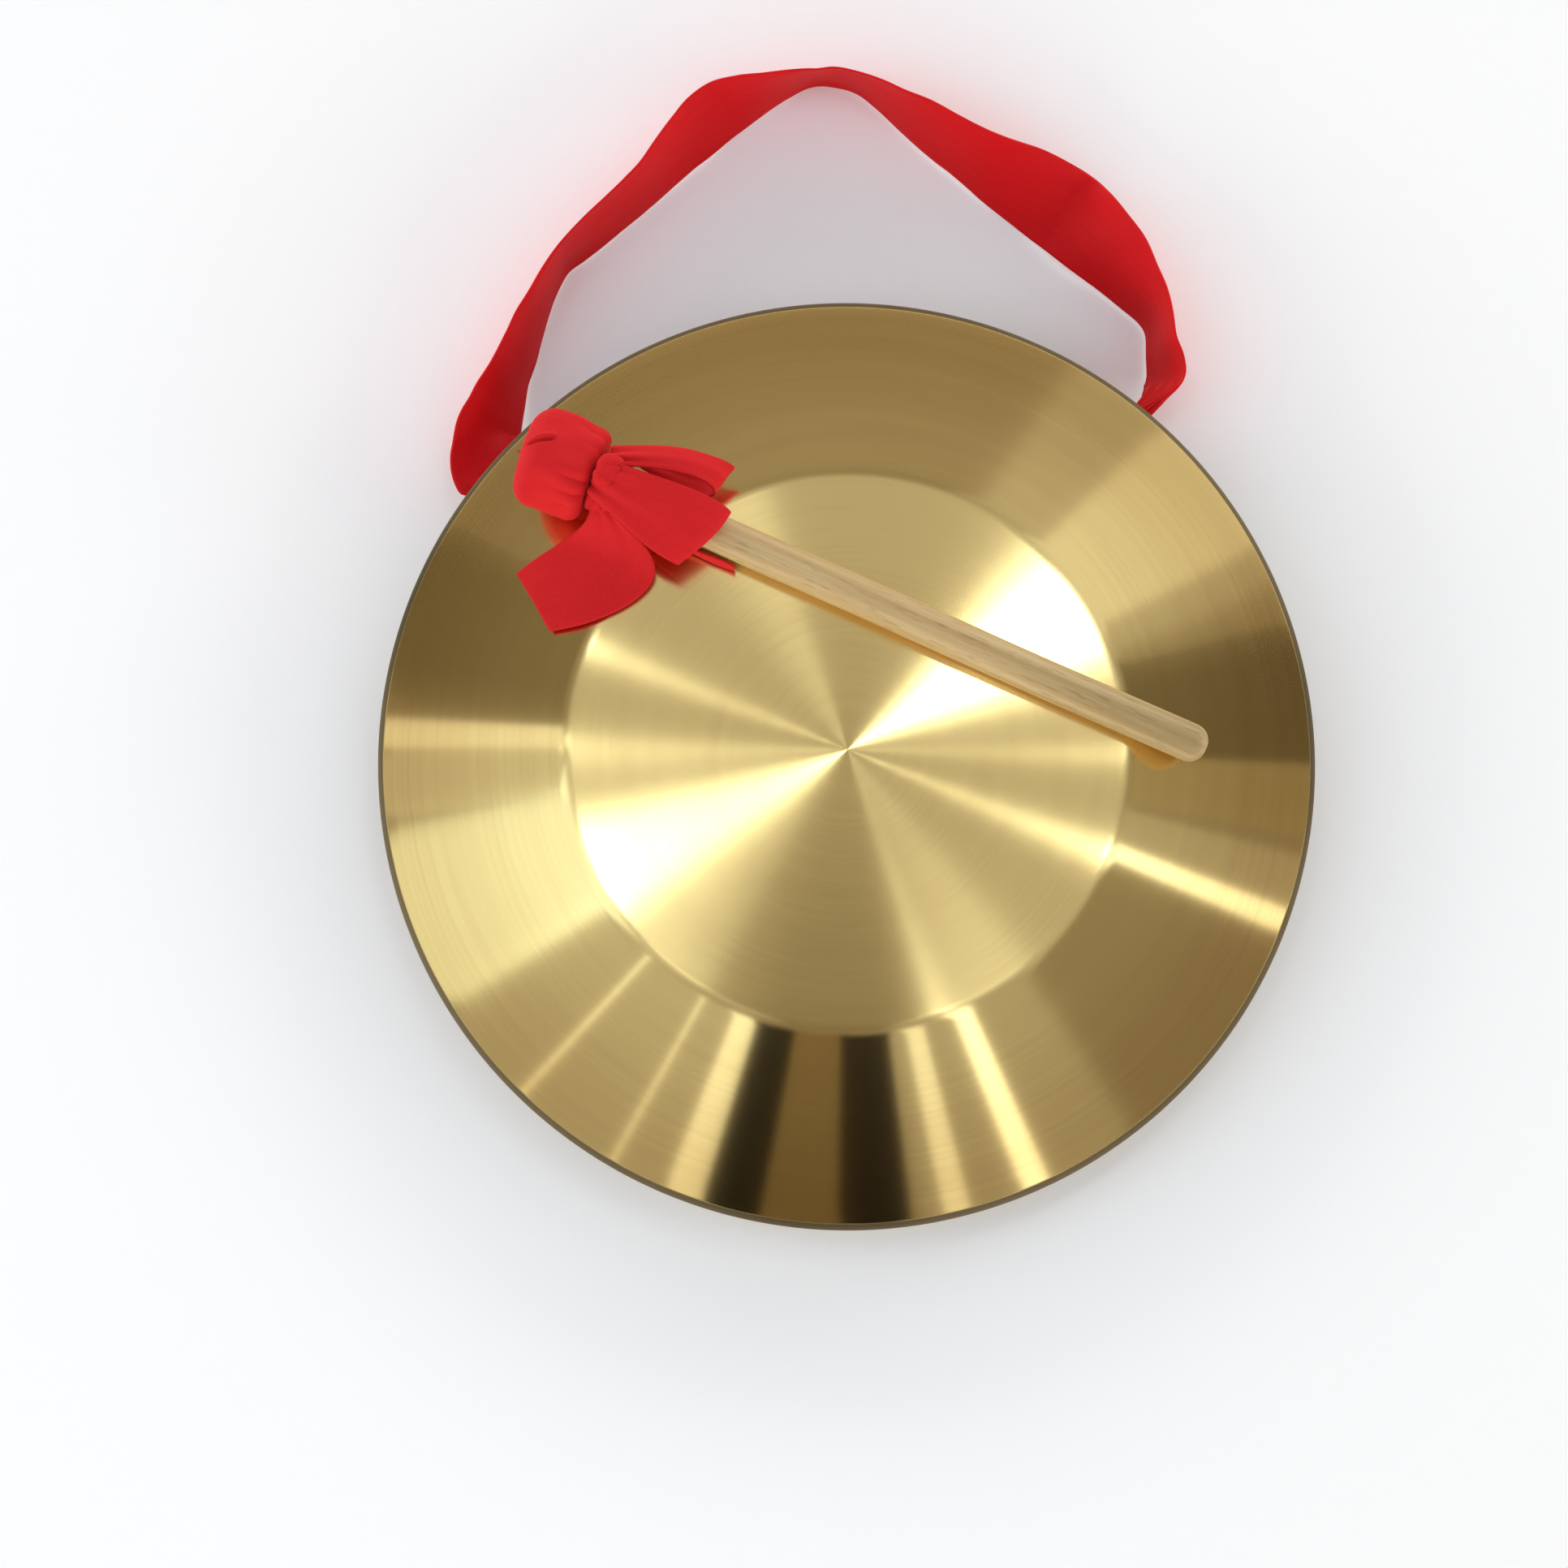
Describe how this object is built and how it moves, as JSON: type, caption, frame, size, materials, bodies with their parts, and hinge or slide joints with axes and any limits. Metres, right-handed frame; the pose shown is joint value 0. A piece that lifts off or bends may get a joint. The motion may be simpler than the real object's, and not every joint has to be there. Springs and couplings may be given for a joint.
{
  "type": "hand gong",
  "caption": "Brass hand gong with a flat raised centre and a sloping ring, a red carrying strap tied in its flange, and a padded wooden mallet lying on its face.",
  "frame": {"origin": "centre of the gong on the surface it lies on, below the middle of its face", "axes": "+Z along the gong's axis towards its face, +Y between the strap's two holes"},
  "size_m": [0.22, 0.2789, 0.0544],
  "materials": {
    "brass": "brushed in circles, lacquered",
    "red_ribbon": "satin ribbon",
    "red_cloth": "matte woven cloth",
    "wood": "sanded, unvarnished",
    "cork": "turned soft wood, hidden",
    "felt": "felt, hidden"
  },
  "bodies": {
    "gong": {"gong_plate": "brass", "strap_end_left": "red_ribbon", "strap_end_right": "red_ribbon"},
    "strap": {"strap_band": "red_ribbon"},
    "mallet": {"mallet_handle": "wood", "mallet_head_core": "cork", "mallet_head_padding": "felt", "mallet_head_cover": "red_cloth", "tie_wrap": "red_cloth", "tie_knot": "red_cloth", "tie_loop_upper": "red_cloth", "tie_loop_middle": "red_cloth", "tie_tail_lower": "red_cloth", "tie_tail_edge": "red_cloth"}
  },
  "joints": [
    {"name": "strap_swing", "type": "hinge", "parent": "gong", "child": "strap", "pos_m": [0, 0.08203, 0.011], "axis": [1, 0, 0], "range_deg": [0, 55]},
    {"name": "mallet_lift", "type": "slide", "parent": "gong", "child": "mallet", "axis": [0, 0, 1], "range_m": [0, 0.08]}
  ]
}
